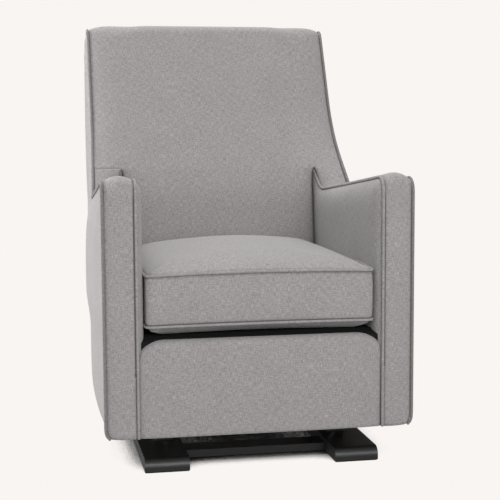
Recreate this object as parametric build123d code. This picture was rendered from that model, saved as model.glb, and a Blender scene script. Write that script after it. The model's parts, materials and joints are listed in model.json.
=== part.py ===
from build123d import *
import os

# Glider nursery chair: an upholstered body with a loose seat cushion, hung on four
# swinging links from a flat wooden base. Millimetres, +Z up. While it is drawn, x = 0 is
# the middle, y = 0 is the front of the arms and z = 0 is the floor. Every part is moved
# by -DEPTH_CENTRE in y at the end, so the chair's front looks along -Y and the origin is
# the middle of the chair's box, on the floor. The right side is drawn and mirrored.

# Overall
DEPTH_CENTRE = 437.2
SKIRT_Z = 79.0  # lowest edge of the upholstered body
TALL = 1300.0  # longer than everything, for cutting tools
WIDE = 400.0  # wider than half the chair, for cutting tools
ARM_CORNER_R = 30.0  # top front corner of the arm, seen from the side

# Side outline of the upholstered body: (y, z, corner radius)
SIDE_OUTLINE = [
    (0, SKIRT_Z, 0),
    (4, 674, ARM_CORNER_R),
    (545, 592, 128),
    (700, 825, 1000),
    (812, 1072, 28),
    (888, 1058, 40),
    (800, 500, 2500),
    (700, SKIRT_Z, 0),
]
# Front of the back panel between the arms, seen from the side, and on behind the chair
BACK_OUTLINE = [
    (552, 90, 0),
    (556, 490, 150),
    (606, 690, 300),
    (692, 825, 500),
    (804, 1072, 28),
    (1500, 1072, 0),
    (1500, 90, 0),
]
# The arm's band ends, and the back panel widens over it, at this slanted line
ARM_END_FRONT = (400, 800)
ARM_END_REAR = (760, 558)
# Where the arm's band, the back panel and the outside back lie, as wide (y, z) areas
BAND_ZONE = [(-20, SKIRT_Z), (-20, 1000), (400, 1000), (400, 500), (14, SKIRT_Z)]
BAND_INSIDE = [(14, 0), (640, 600), (900, 400), (900, 0)]
BACK_ZONE = [(500, 309), (500, 1100), (910, 1100), (910, 1010), (850, 1010), (650, 600), (600, 309)]
REAR_ZONE = [(693, SKIRT_Z), (740, 400), (790, 700), (850, 1010), (910, 1010), (910, SKIRT_Z)]
# Seams that carry a welt: (y, z) points and the radii of the corners between
INNER_SEAM = [(0, SKIRT_Z + 3), (4, 674), (545, 592), (600, 674)]
INNER_SEAM_RADII = [ARM_CORNER_R, 128]
OUTER_SEAM = [(0, SKIRT_Z + 3), (4, 674), (545, 592), (700, 825), (812, 1072), (866, 1062)]
OUTER_SEAM_RADII = [ARM_CORNER_R, 128, 900, 24]

# Widths, from the middle
SIDE_FRONT_X = 349.0  # inside of the outer side cover, at the front
SIDE_REAR_X = 333.0  # the same at the rear: the sides close in
SIDE_Y = (-20.0, 900.0)  # where those two widths are measured
SIDE_COVER_FRONT_X = 361.0
SIDE_COVER_MIDDLE = (371.0, 300.0)
SIDE_COVER_REAR_X = 350.0
ARM_IN_X = 289.0  # inner seam of the arm's front
ARM_COVER_X = 268.0  # inner face of the arm, which the seat cushion fits between
COVER = 12.0  # fabric and its wadding
ARM_COVER = 3.0
ARM_COVER_INSET = 2.0  # from the side outline to the edge of the inner arm cover
ARM_COVER_Y = (20.0, 548.0)
ARM_COVER_GAP = 3.0  # from the deck up to the inner arm cover
REAR_COVER = 6.0
BACK_PANEL_X = 266.0
APRON_X = 285.0
APRON_CORNER_R = 12.0

# Frame
PLY = 12.0
PLY_GAP = 14.0  # from the side outline to the edge of the plywood
INNER_PLY = 9.0
FRAME_Z = 95.0
SEAT_RAIL_X = (262.0, 287.0)
SEAT_RAIL_TOP = 296.0
FRONT_RAIL_Y = (14.0, 39.0)
REAR_RAIL_Y = (613.0, 638.0)
POST_X = (298.0, 334.0)
BACK_POST_X = (270.0, 318.0)
FOAM = 45.0
WEBBING = 3.0
BACK_POST = 34.0
BACK_POST_TOP = 1040.0
PANEL_INSIDE = 300.0  # nearer the middle than the side panels
PANEL_REAR = 1000.0  # behind the side panels
PANEL_TOP = 1036.0
PANEL_CORNER_Y = 845.0  # from here back, the side panel's top corner is cut off at 45 degrees
INNER_PANEL_REAR = 600.0
ARM_POST_Y = (16.0, 66.0)
ARM_RAIL_Y = (66.0, 520.0)
ARM_RAIL_LOW = 500.0  # lower than the arm rails
ARM_RAIL = 30.0
ARM_RAIL_X = (298.0, 326.0)
BACK_TOP_RAIL_Z = (985.0, 1045.0)
BACK_LOWER_RAIL_Z = (400.0, 450.0)
REAR_RAIL_X = 268.0
REAR_RAIL_Z = 200.0
STRETCHER_X = 322.0
STRETCHER_Y = (666.0, 688.0)
STRETCHER_TOP = 150.0
CORNER_BLOCK_LEG = 60.0
CORNER_BLOCK_Z = (190.0, 255.0)
RAIL_GAP = 2.0
STRAP_WIDTH = 50.0
STRAP_Z = (380.0, 490.0, 600.0, 710.0, 820.0, 930.0)

# Deck and springs
DECK_Z = 309.0
DECK_CLOTH = 2.0
DECK_PAD = 18.0
DECK_PAD_X = 260.0
DECK_CLOTH_X = 286.0
DUST_COVER_X = 255.0
DUST_COVER_Y = (45.0, 608.0)
DUST_COVER_Z = (262.0, 263.0)
SPRING_Z = 283.0
SPRING_WIRE_R = 1.8
SPRING_BEND_R = 16.0
SPRING_LEAD_R = 5.0
SPRING_HALF_WIDTH = 24.0
SPRING_CENTRES = (-200.0, -100.0, 0.0, 100.0, 200.0)
SPRING_BENDS = 17
CLIP = (20.0, 6.0, 9.0)

# Glide linkage
PIVOT_Y = (200.0, 480.0)
UPPER_Z = 232.0
LOWER_Z = 104.0
LINK_X = (245.0, 252.0)
LINK_EYE_R = 16.0
LINK_WIDTH = 22.0
BEARING_R = 11.0
PIN_R = 4.0
RUN_CLEARANCE = 0.05  # pin to bearing
OPEN_CLEARANCE = 0.3  # the three lower pivots that close the linkage
SIDE_PLAY = 0.3
BRACKET_X = (231.0, 237.0)
BRACKET_HALF_LENGTH = 45.0
BRACKET_TOP_R = 22.0
GUSSET = 5.0
GUSSET_TOP = 120.0
CARRIER_X = (256.0, 262.0)
CARRIER_Y = (140.0, 540.0)
CARRIER_Z = (112.0, 160.0)
CARRIER_LOBE_R = 17.0
CARRIER_BOLT_Y = (260.0, 340.0, 420.0)
CARRIER_BOLT_Z = 136.0
SPACER_R = 6.5
HEAD_R = 7.5
BOLT_HEAD = 5.5  # thickness of the bracket and upper pivot bolts' heads
LOWER_HEAD = 5.0
CARRIER_HEAD = 4.0
NUT = 7.0
BOLT_BEYOND = 8.0  # how far the upper pivot bolts reach through their nuts

# Base
RUNNER_X = (172.0, 275.5)
RUNNER_Y = (-8.0, 640.0)
RUNNER_Z = (2.0, 32.0)
NOSING_R = 20.0
CROSS_RAIL_Y = (96.0, 472.0)
CROSS_RAIL_DEPTH = 64.0
CROSS_RAIL_TOP = 20.0
FOOT = 5.0  # thickness of the bracket's foot
FOOT_X = 190.0
BRACKET_BOLT_X = 208.0
BRACKET_BOLT_STEP = 30.0
BRACKET_BOLT_END_Z = 12.0
FLOOR_PAD_X = (195.0, 252.0)
FLOOR_PAD_Y = ((22.0, 52.0), (580.0, 610.0))

# Seat cushion
CUSHION_X = 265.0
CUSHION_Y = (11.0, 548.5)
CUSHION_Z = (DECK_Z + 0.4, 486.0)
CUSHION_EDGE_R = 35.0
CUSHION_CORNER_R = 14.0
CUSHION_SKIN = 2.5
CUSHION_SEAMS_Z = (333.0, 450.0)
WELT_R = 3.0


def block(x, y, z):
    """A box between two limits in each direction."""
    size = (x[1] - x[0], y[1] - y[0], z[1] - z[0])
    return Pos(x[0], y[0], z[0]) * Box(*size, align=(Align.MIN, Align.MIN, Align.MIN))


def cross_block(half_x, y, z):
    """A box that reaches equally far to both sides."""
    return block((-half_x, half_x), y, z)


def rod(start_x, end_x, y, z, radius):
    """A round bar along X."""
    bar = Cylinder(radius, end_x - start_x, align=(Align.CENTER, Align.CENTER, Align.MIN))
    return Pos(start_x, y, z) * Rot(0, 90, 0) * bar


def upright_rod(x, y, low, high):
    """A round bar of the bolts' size along Z."""
    bar = Cylinder(PIN_R, high - low, align=(Align.CENTER, Align.CENTER, Align.MIN))
    return Pos(x, y, low) * bar


def hexagon_bar(start_x, end_x, y, z, radius):
    """A hexagonal bar along X, for bolt heads and nuts."""
    return Pos(start_x, y, z) * Rot(0, 90, 0) * extrude(RegularPolygon(radius, 6), end_x - start_x)


def both_sides(solid):
    """The right-hand solid with its left-hand twin."""
    return Compound(solid.solids() + mirror(solid, Plane.YZ).solids())


def outline(corners):
    """A flat face from (y, z, radius) corners."""
    face = make_face(Polyline(*[(y, z) for y, z, _ in corners], close=True))
    for y, z, radius in corners:
        if radius:
            face = fillet(face.vertices().sort_by_distance((y, z))[0], radius)
    return face


def polygon(*points):
    return make_face(Polyline(*points, close=True))


def area(y, z):
    """A rectangle between two limits in y and in z."""
    return polygon((y[0], z[0]), (y[1], z[0]), (y[1], z[1]), (y[0], z[1]))


def slab(face, x):
    """A (y, z) face made solid between two limits in x."""
    return Pos(x[0], 0, 0) * extrude(Plane.YZ * face, x[1] - x[0])


def side_prism(inset):
    """Everything between the two slightly converging sides, that far inside their covers."""
    front, rear = SIDE_FRONT_X - inset, SIDE_REAR_X - inset
    plan = polygon((-front, SIDE_Y[0]), (front, SIDE_Y[0]), (rear, SIDE_Y[1]), (-rear, SIDE_Y[1]))
    return extrude(plan, TALL)


def behind(depth):
    """The (y, z) area that lies that far behind the front of the back panel."""
    return Pos(depth, 0) * outline(BACK_OUTLINE)


def layer(near, far, z):
    """A layer of the back, as a (y, z) face, between two depths and two heights."""
    return (behind(near) - behind(far)) & area((500, 1000), z)


BODY = outline(SIDE_OUTLINE)
FRAME_BODY = offset(BODY, -PLY_GAP)
SKIN = BODY - offset(BODY, -COVER)
UNDER_ARM_END = polygon(ARM_END_FRONT, ARM_END_REAR, (760, 0), (400, 0))


# ---- base

def runner():
    board = block(RUNNER_X, RUNNER_Y, RUNNER_Z)
    top_ends = board.edges().filter_by(Axis.X).group_by(Axis.Z)[-1]
    board = fillet(top_ends, NOSING_R)
    for y in bracket_bolt_rows():
        board -= upright_rod(BRACKET_BOLT_X, y, BRACKET_BOLT_END_Z, RUNNER_Z[1])
    return board


def cross_rail(y):
    return cross_block(RUNNER_X[0], (y, y + CROSS_RAIL_DEPTH), (RUNNER_Z[0], CROSS_RAIL_TOP))


def floor_pads():
    pads = [block(FLOOR_PAD_X, y, (0, RUNNER_Z[0])) for y in FLOOR_PAD_Y]
    return both_sides(Compound(pads))


def bracket_bolt_rows():
    return [pivot + step for pivot in PIVOT_Y for step in (-BRACKET_BOLT_STEP, BRACKET_BOLT_STEP)]


def bracket(pivot_y):
    """An upright steel plate with a foot and a gusset. A link hangs from its rounded top."""
    foot_top = RUNNER_Z[1] + FOOT
    foot_y = (pivot_y - BRACKET_HALF_LENGTH, pivot_y + BRACKET_HALF_LENGTH)
    face = polygon(
        (foot_y[0], RUNNER_Z[1]), (foot_y[1], RUNNER_Z[1]),
        (pivot_y + BRACKET_TOP_R, UPPER_Z), (pivot_y - BRACKET_TOP_R, UPPER_Z),
    )
    face += Pos(pivot_y, UPPER_Z) * Circle(BRACKET_TOP_R)
    plate = slab(face, BRACKET_X) - rod(BRACKET_X[0], BRACKET_X[1], pivot_y, UPPER_Z, PIN_R)
    foot = block((FOOT_X, BRACKET_X[0]), foot_y, (RUNNER_Z[1], foot_top))
    for y in (pivot_y - BRACKET_BOLT_STEP, pivot_y + BRACKET_BOLT_STEP):
        foot -= upright_rod(BRACKET_BOLT_X, y, RUNNER_Z[1], foot_top)
    web = polygon((FOOT_X + GUSSET, foot_top), (BRACKET_X[0], foot_top), (BRACKET_X[0], GUSSET_TOP))
    gusset = Pos(0, pivot_y + GUSSET / 2, 0) * extrude(Plane.XZ * web, GUSSET)
    return plate + foot + gusset


def bracket_bolts():
    bolts = []
    foot_top = RUNNER_Z[1] + FOOT
    for y in bracket_bolt_rows():
        shank = upright_rod(BRACKET_BOLT_X, y, BRACKET_BOLT_END_Z, foot_top)
        head = extrude(RegularPolygon(HEAD_R, 6), BOLT_HEAD)
        bolts.append(shank + Pos(BRACKET_BOLT_X, y, foot_top) * head)
    return both_sides(Compound(bolts))


def upper_pivot_bolts():
    head_x = LINK_X[1] + SIDE_PLAY
    bolts = [
        rod(BRACKET_X[0] - BOLT_BEYOND, head_x, y, UPPER_Z, PIN_R)
        + hexagon_bar(head_x, head_x + BOLT_HEAD, y, UPPER_Z, HEAD_R)
        for y in PIVOT_Y
    ]
    return both_sides(Compound(bolts))


def upper_pivot_nuts():
    nuts = [
        hexagon_bar(BRACKET_X[0] - NUT, BRACKET_X[0], y, UPPER_Z, HEAD_R)
        - rod(BRACKET_X[0] - NUT, BRACKET_X[0], y, UPPER_Z, PIN_R)
        for y in PIVOT_Y
    ]
    return both_sides(Compound(nuts))


def spacers(x, z):
    rings = [rod(*x, y, z, SPACER_R) - rod(*x, y, z, PIN_R) for y in PIVOT_Y]
    return both_sides(Compound(rings))


# ---- swinging links

def link(pivot_y):
    height = UPPER_Z - LOWER_Z
    face = Pos(pivot_y, (UPPER_Z + LOWER_Z) / 2) * Rectangle(LINK_WIDTH, height)
    for z in (UPPER_Z, LOWER_Z):
        face += Pos(pivot_y, z) * Circle(LINK_EYE_R)
    for z in (UPPER_Z, LOWER_Z):
        face -= Pos(pivot_y, z) * Circle(BEARING_R)
    return slab(face, LINK_X)


def bearings(pivot_y, lower_clearance):
    """The two bearings of one link. Each is pressed into an eye and turns on its pin."""
    rings = [
        rod(*LINK_X, pivot_y, z, BEARING_R) - rod(*LINK_X, pivot_y, z, PIN_R + clearance)
        for z, clearance in ((UPPER_Z, RUN_CLEARANCE), (LOWER_Z, lower_clearance))
    ]
    return Compound(rings)


# ---- mechanism parts on the chair

def carrier():
    """The steel plate screwed to a seat rail. Its two lobes hold the lower pivot bolts."""
    face = area(CARRIER_Y, CARRIER_Z)
    for y in PIVOT_Y:
        face += Pos(y, LOWER_Z) * Circle(CARRIER_LOBE_R)
        face += area((y - CARRIER_LOBE_R, y + CARRIER_LOBE_R), (LOWER_Z, CARRIER_Z[0] + 1))
        face -= Pos(y, LOWER_Z) * Circle(PIN_R)
    for y in CARRIER_BOLT_Y:
        face -= Pos(y, CARRIER_BOLT_Z) * Circle(PIN_R)
    return slab(face, CARRIER_X)


def carrier_bolts():
    bolts = [
        rod(CARRIER_X[0], SEAT_RAIL_X[1], y, CARRIER_BOLT_Z, PIN_R)
        + hexagon_bar(CARRIER_X[0] - CARRIER_HEAD, CARRIER_X[0], y, CARRIER_BOLT_Z, HEAD_R)
        for y in CARRIER_BOLT_Y
    ]
    return both_sides(Compound(bolts))


def lower_pivot_bolts():
    head_x = LINK_X[0] - SIDE_PLAY
    bolts = [
        rod(head_x, CARRIER_X[1], y, LOWER_Z, PIN_R)
        + hexagon_bar(head_x - LOWER_HEAD, head_x, y, LOWER_Z, HEAD_R)
        for y in PIVOT_Y
    ]
    return both_sides(Compound(bolts))


# ---- wooden frame

def side_panels():
    between = side_prism(0) - side_prism(PLY)
    low_z = PANEL_TOP - (PANEL_REAR - PANEL_CORNER_Y)
    face = FRAME_BODY & polygon(
        (0, FRAME_Z), (0, PANEL_TOP), (PANEL_CORNER_Y, PANEL_TOP), (PANEL_REAR, low_z), (PANEL_REAR, FRAME_Z)
    )
    return both_sides(slab(face, (PANEL_INSIDE, WIDE)) & between)


def arm_inner_panels():
    face = FRAME_BODY & area((0, INNER_PANEL_REAR), (FRAME_Z, TALL))
    return both_sides(slab(face, (ARM_IN_X, ARM_IN_X + INNER_PLY)))


def arm_posts():
    face = FRAME_BODY & area(ARM_POST_Y, (FRAME_Z, TALL))
    return both_sides(slab(face, POST_X))


def arm_rails():
    top = FRAME_BODY - offset(BODY, -PLY_GAP - ARM_RAIL)
    return both_sides(slab(top & area(ARM_RAIL_Y, (ARM_RAIL_LOW, TALL)), ARM_RAIL_X))


def back_posts():
    depth = COVER + FOAM + WEBBING
    face = layer(depth, depth + BACK_POST, (FRAME_Z, BACK_POST_TOP)) & FRAME_BODY
    return both_sides(slab(face, BACK_POST_X))


def back_rail(z):
    depth = COVER + FOAM + WEBBING
    face = layer(depth, depth + BACK_POST, z) & FRAME_BODY
    return slab(face, (-BACK_POST_X[0], BACK_POST_X[0]))


def seat_side_rails():
    rail = block(SEAT_RAIL_X, (FRONT_RAIL_Y[1], REAR_RAIL_Y[0] - RAIL_GAP), (FRAME_Z, SEAT_RAIL_TOP))
    for y in CARRIER_BOLT_Y:
        rail -= rod(*SEAT_RAIL_X, y, CARRIER_BOLT_Z, PIN_R)
    return both_sides(rail)


def corner_blocks():
    """Four glued triangular blocks that brace the corners of the seat frame."""
    leg, x = CORNER_BLOCK_LEG, SEAT_RAIL_X[0]
    low, high = CORNER_BLOCK_Z
    front = polygon((x, FRONT_RAIL_Y[1]), (x - leg, FRONT_RAIL_Y[1]), (x, FRONT_RAIL_Y[1] + leg))
    rear = polygon((x, REAR_RAIL_Y[0]), (x - leg, REAR_RAIL_Y[0]), (x, REAR_RAIL_Y[0] - leg))
    return both_sides(Compound([Pos(0, 0, low) * extrude(plan, high - low) for plan in (front, rear)]))


# ---- springs and deck

def spring_start_y():
    middle = (FRONT_RAIL_Y[1] + REAR_RAIL_Y[0]) / 2
    return middle - SPRING_BENDS * SPRING_BEND_R


def seat_spring(centre_x):
    """A sinuous spring: straight bars across, joined by half-round bends, from rail to rail."""
    straight = SPRING_HALF_WIDTH - SPRING_BEND_R
    first_y = spring_start_y()
    front_y, rear_y = FRONT_RAIL_Y[1] + CLIP[1], REAR_RAIL_Y[0] - CLIP[1]
    last_y = first_y + SPRING_BENDS * 2 * SPRING_BEND_R
    lead_r = SPRING_LEAD_R
    side = 1
    edges = [
        Line((0, front_y), (0, first_y - lead_r)),
        CenterArc((lead_r, first_y - lead_r), lead_r, 180, -90),
        Line((lead_r, first_y), (straight, first_y)),
    ]
    for bend in range(SPRING_BENDS):
        y = first_y + bend * 2 * SPRING_BEND_R
        centre = (side * straight, y + SPRING_BEND_R)
        edges.append(CenterArc(centre, SPRING_BEND_R, -90, side * 180))
        side = -side
        if bend < SPRING_BENDS - 1:
            y += 2 * SPRING_BEND_R
            edges.append(Line((-side * straight, y), (side * straight, y)))
    edges.append(Line((-side * straight, last_y), (-side * lead_r, last_y)))
    edges.append(CenterArc((-side * lead_r, last_y + lead_r), lead_r, -90, side * 90))
    edges.append(Line((0, last_y + lead_r), (0, rear_y)))
    path = Wire([Pos(centre_x, 0, SPRING_Z) * edge for edge in edges])
    section = Plane(origin=(centre_x, front_y, SPRING_Z), z_dir=(0, 1, 0)) * Circle(SPRING_WIRE_R)
    return sweep(section, path=path)


def spring_clips():
    clips = [
        block(
            (x - CLIP[0] / 2, x + CLIP[0] / 2), (y, y + CLIP[1]),
            (SPRING_Z - CLIP[2] / 2, SPRING_Z + CLIP[2] / 2),
        )
        for x in SPRING_CENTRES
        for y in (FRONT_RAIL_Y[1], REAR_RAIL_Y[0] - CLIP[1])
    ]
    return Compound(clips)


def back_webbing():
    """Elastic straps across the back, on the front faces of its posts."""
    depth = COVER + FOAM
    straps = [
        slab(layer(depth, depth + WEBBING, (z, z + STRAP_WIDTH)), (-BACK_POST_X[1], BACK_POST_X[1]))
        for z in STRAP_Z
    ]
    return Compound(straps)


def deck(low, high, half_width):
    """A flat layer between the front and the rear rail."""
    y = (FRONT_RAIL_Y[1] + RAIL_GAP, REAR_RAIL_Y[0] - RAIL_GAP)
    return block((-half_width, half_width), y, (low, high))


# ---- padding and covers of the chair

def arm_side_face():
    """The inner side of an arm above the deck, in (y, z)."""
    return offset(BODY, -ARM_COVER_INSET) & area(ARM_COVER_Y, (DECK_Z + ARM_COVER_GAP, TALL))


def arm_pads():
    return both_sides(slab(arm_side_face(), (ARM_COVER_X + ARM_COVER, ARM_IN_X)))


def inner_arm_cover():
    return slab(arm_side_face(), (ARM_COVER_X, ARM_COVER_X + ARM_COVER))


def arm_band():
    """The strip up the arm's front and along its top."""
    zone = UNDER_ARM_END + polygon(*BAND_ZONE) - polygon(*BAND_INSIDE)
    return slab(SKIN & zone, (ARM_IN_X, WIDE)) & side_prism(0)


def side_cover():
    """The outer side with its wadding: straight inside, gently bowed outside."""
    middle_x, middle_y = SIDE_COVER_MIDDLE
    plan = make_face([
        Line((SIDE_FRONT_X, SIDE_Y[0]), (SIDE_REAR_X, SIDE_Y[1])),
        Line((SIDE_REAR_X, SIDE_Y[1]), (SIDE_COVER_REAR_X, SIDE_Y[1])),
        ThreePointArc(
            (SIDE_COVER_REAR_X, SIDE_Y[1]), (middle_x, middle_y), (SIDE_COVER_FRONT_X, SIDE_Y[0])
        ),
        Line((SIDE_COVER_FRONT_X, SIDE_Y[0]), (SIDE_FRONT_X, SIDE_Y[0])),
    ])
    return slab(BODY, (PANEL_INSIDE, WIDE)) & extrude(plan, TALL)


def back_cover():
    """The front panel of the back, narrow between the arms and full width above them."""
    top = BODY & behind(0)
    skin = (top - offset(BODY, -COVER)) + layer(0, COVER, (DECK_Z, PANEL_REAR))
    panel = slab(skin & polygon(*BACK_ZONE), (-WIDE, WIDE)) & side_prism(0)
    beside = slab(UNDER_ARM_END, (BACK_PANEL_X, WIDE))
    return panel - beside - mirror(beside, Plane.YZ) - side_panels()


def back_foam():
    face = layer(COVER, COVER + FOAM, (DECK_Z, PANEL_REAR)) & FRAME_BODY
    return slab(face, (-BACK_PANEL_X, BACK_PANEL_X))


def outside_back_cover():
    skin = BODY - offset(BODY, -REAR_COVER)
    return slab(skin & polygon(*REAR_ZONE), (-WIDE, WIDE)) & side_prism(0)


def apron():
    """The cover of the front rail, rolled back over its top edge to the deck."""
    x = (-APRON_X, APRON_X)
    cover = block(x, (0, FRONT_RAIL_Y[0]), (SKIRT_Z, DECK_Z))
    cover += block(x, (0, FRONT_RAIL_Y[1] + RAIL_GAP / 2), (SEAT_RAIL_TOP, DECK_Z))
    corners = cover.edges().filter_by(Axis.Y).group_by(Axis.Z)[-1]
    cover = fillet(corners, APRON_CORNER_R)
    nose = cover.faces().sort_by(Axis.Z)[-1].edges().sort_by(Axis.Y)[0]
    return fillet(nose, APRON_CORNER_R)


def welt(side_points, radii, plane):
    """A covered cord along a seam that is drawn in (y, z) on a nearly upright plane."""
    path = plane * FilletPolyline(*side_points, radius=radii)
    section = Plane(origin=path @ 0, z_dir=path % 0) * Circle(WELT_R)
    return sweep(section, path=path)


def inner_arm_welts():
    return both_sides(welt(INNER_SEAM, INNER_SEAM_RADII, Plane.YZ.offset(ARM_IN_X)))


def side_welts():
    slant = (SIDE_REAR_X - SIDE_FRONT_X) / (SIDE_Y[1] - SIDE_Y[0])
    origin = (SIDE_FRONT_X + 2 * WELT_R, 0, 0)
    plane = Plane(origin=origin, x_dir=(slant, 1, 0), z_dir=(1, -slant, 0))
    return both_sides(welt(OUTER_SEAM, OUTER_SEAM_RADII, plane))


# ---- seat cushion

def cushion_block(inset):
    x = CUSHION_X - inset
    body = block(
        (-x, x), (CUSHION_Y[0] + inset, CUSHION_Y[1] - inset),
        (CUSHION_Z[0] + inset, CUSHION_Z[1] - inset),
    )
    body = fillet(body.edges().filter_by(Axis.Z), CUSHION_CORNER_R - inset)
    rims = body.edges().filter_by(Plane.XY)
    return fillet(rims, CUSHION_EDGE_R - inset)


def cushion_cover(z):
    between = block((-WIDE, WIDE), (-WIDE, TALL), z)
    return (cushion_block(0) - cushion_block(CUSHION_SKIN)) & between


def cushion_welts():
    rings = []
    width = 2 * CUSHION_X - 1
    depth = CUSHION_Y[1] - CUSHION_Y[0] - 1
    centre_y = (CUSHION_Y[0] + CUSHION_Y[1]) / 2
    for z in CUSHION_SEAMS_Z:
        path = Pos(0, centre_y, z) * RectangleRounded(width, depth, CUSHION_CORNER_R).wire()
        section = Plane(origin=path @ 0, z_dir=path % 0) * Circle(WELT_R)
        rings.append(sweep(section, path=path))
    return Compound([ring.solid() for ring in rings])


# ---- the whole chair

def chair_parts():
    seat_runner, seat_carrier = runner(), carrier()
    parts = {
        "runner_right": seat_runner,
        "runner_left": mirror(seat_runner, Plane.YZ),
        "cross_rail_front": cross_rail(CROSS_RAIL_Y[0]),
        "cross_rail_rear": cross_rail(CROSS_RAIL_Y[1]),
        "floor_pads": floor_pads(),
        "bracket_bolts": bracket_bolts(),
        "upper_pivot_bolts": upper_pivot_bolts(),
        "upper_pivot_nuts": upper_pivot_nuts(),
        "upper_spacers": spacers((BRACKET_X[1], LINK_X[0] - SIDE_PLAY), UPPER_Z),
        "carrier_right": seat_carrier,
        "carrier_left": mirror(seat_carrier, Plane.YZ),
        "carrier_bolts": carrier_bolts(),
        "lower_pivot_bolts": lower_pivot_bolts(),
        "lower_spacers": spacers((LINK_X[1] + SIDE_PLAY, CARRIER_X[0]), LOWER_Z),
        "side_panels": side_panels(),
        "arm_inner_panels": arm_inner_panels(),
        "arm_posts": arm_posts(),
        "arm_rails": arm_rails(),
        "back_posts": back_posts(),
        "back_top_rail": back_rail(BACK_TOP_RAIL_Z),
        "back_lower_rail": back_rail(BACK_LOWER_RAIL_Z),
        "seat_side_rails": seat_side_rails(),
        "front_rail": cross_block(SEAT_RAIL_X[1], FRONT_RAIL_Y, (FRAME_Z, SEAT_RAIL_TOP)),
        "rear_rail": cross_block(REAR_RAIL_X, REAR_RAIL_Y, (REAR_RAIL_Z, SEAT_RAIL_TOP)),
        "rear_stretcher": cross_block(STRETCHER_X, STRETCHER_Y, (FRAME_Z, STRETCHER_TOP)),
        "corner_blocks": corner_blocks(),
        "seat_springs": Compound([seat_spring(x).solid() for x in SPRING_CENTRES]),
        "spring_clips": spring_clips(),
        "back_webbing": back_webbing(),
        "deck_pad": deck(DECK_Z - DECK_CLOTH - DECK_PAD, DECK_Z - DECK_CLOTH, DECK_PAD_X),
        "deck_cloth": deck(DECK_Z - DECK_CLOTH, DECK_Z, DECK_CLOTH_X),
        "dust_cover": cross_block(DUST_COVER_X, DUST_COVER_Y, DUST_COVER_Z),
        "arm_pads": arm_pads(),
        "back_foam": back_foam(),
        "back_cover": back_cover(),
        "outside_back_cover": outside_back_cover(),
        "apron": apron(),
        "inner_arm_welts": inner_arm_welts(),
        "side_welts": side_welts(),
        "cushion_foam": cushion_block(CUSHION_SKIN),
        "cushion_top": cushion_cover((CUSHION_SEAMS_Z[1], TALL)),
        "cushion_boxing": cushion_cover(CUSHION_SEAMS_Z),
        "cushion_bottom": cushion_cover((0, CUSHION_SEAMS_Z[0])),
        "cushion_welts": cushion_welts(),
    }
    arm_covers = {
        "inner_arm_cover": inner_arm_cover(),
        "arm_band": arm_band(),
        "side_cover": side_cover(),
    }
    for name, cover in arm_covers.items():
        parts[name + "_right"] = cover
        parts[name + "_left"] = mirror(cover, Plane.YZ)
    brackets = Compound([bracket(y) for y in PIVOT_Y])
    parts["base_brackets_right"] = brackets
    parts["base_brackets_left"] = mirror(brackets, Plane.YZ)
    for end, pivot_y in zip(("front", "rear"), PIVOT_Y):
        bar = link(pivot_y)
        parts[f"link_{end}_right"] = bar
        parts[f"link_{end}_left"] = mirror(bar, Plane.YZ)
        left_clearance = RUN_CLEARANCE if end == "front" else OPEN_CLEARANCE
        parts[f"bearings_{end}_right"] = bearings(pivot_y, OPEN_CLEARANCE)
        parts[f"bearings_{end}_left"] = mirror(bearings(pivot_y, left_clearance), Plane.YZ)
    return parts


os.makedirs("parts", exist_ok=True)
for name, part in chair_parts().items():
    solids = [Pos(0, -DEPTH_CENTRE, 0) * solid for solid in part.solids()]
    export_step(solids[0] if len(solids) == 1 else Compound(solids), f"parts/{name}.step")
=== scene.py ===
import json
import math

import bmesh
import bpy
import numpy as np
from mathutils import Matrix, Vector, noise


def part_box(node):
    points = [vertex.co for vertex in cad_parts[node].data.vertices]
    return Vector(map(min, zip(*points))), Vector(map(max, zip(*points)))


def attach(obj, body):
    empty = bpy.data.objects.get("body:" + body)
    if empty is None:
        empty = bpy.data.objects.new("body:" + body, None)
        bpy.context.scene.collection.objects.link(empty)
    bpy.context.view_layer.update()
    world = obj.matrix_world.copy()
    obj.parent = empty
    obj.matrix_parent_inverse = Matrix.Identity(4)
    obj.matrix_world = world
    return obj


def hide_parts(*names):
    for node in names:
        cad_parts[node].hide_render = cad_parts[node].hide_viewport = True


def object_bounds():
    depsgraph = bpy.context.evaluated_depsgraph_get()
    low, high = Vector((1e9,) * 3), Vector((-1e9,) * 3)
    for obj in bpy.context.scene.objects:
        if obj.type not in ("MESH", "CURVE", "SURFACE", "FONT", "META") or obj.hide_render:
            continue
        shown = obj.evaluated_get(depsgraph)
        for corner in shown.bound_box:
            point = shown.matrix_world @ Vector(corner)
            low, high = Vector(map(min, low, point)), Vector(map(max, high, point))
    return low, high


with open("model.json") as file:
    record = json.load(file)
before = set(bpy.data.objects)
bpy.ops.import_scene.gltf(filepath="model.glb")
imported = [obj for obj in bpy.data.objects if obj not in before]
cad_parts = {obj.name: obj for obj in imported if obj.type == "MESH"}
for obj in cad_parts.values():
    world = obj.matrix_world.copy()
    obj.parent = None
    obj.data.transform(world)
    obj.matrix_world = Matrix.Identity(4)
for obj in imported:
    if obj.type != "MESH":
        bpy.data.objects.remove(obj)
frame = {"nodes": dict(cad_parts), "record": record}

# The chair's looks, in metres. Outlines are runs of (y, z, corner radius), with y measured
# back from the front of the arms and z up from the floor.
CAD_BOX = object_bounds()
FRONT_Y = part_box("side_cover_right")[0].y
SKIRT_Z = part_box("side_cover_right")[0].z
DECK_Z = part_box("deck_cloth")[1].z

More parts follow.
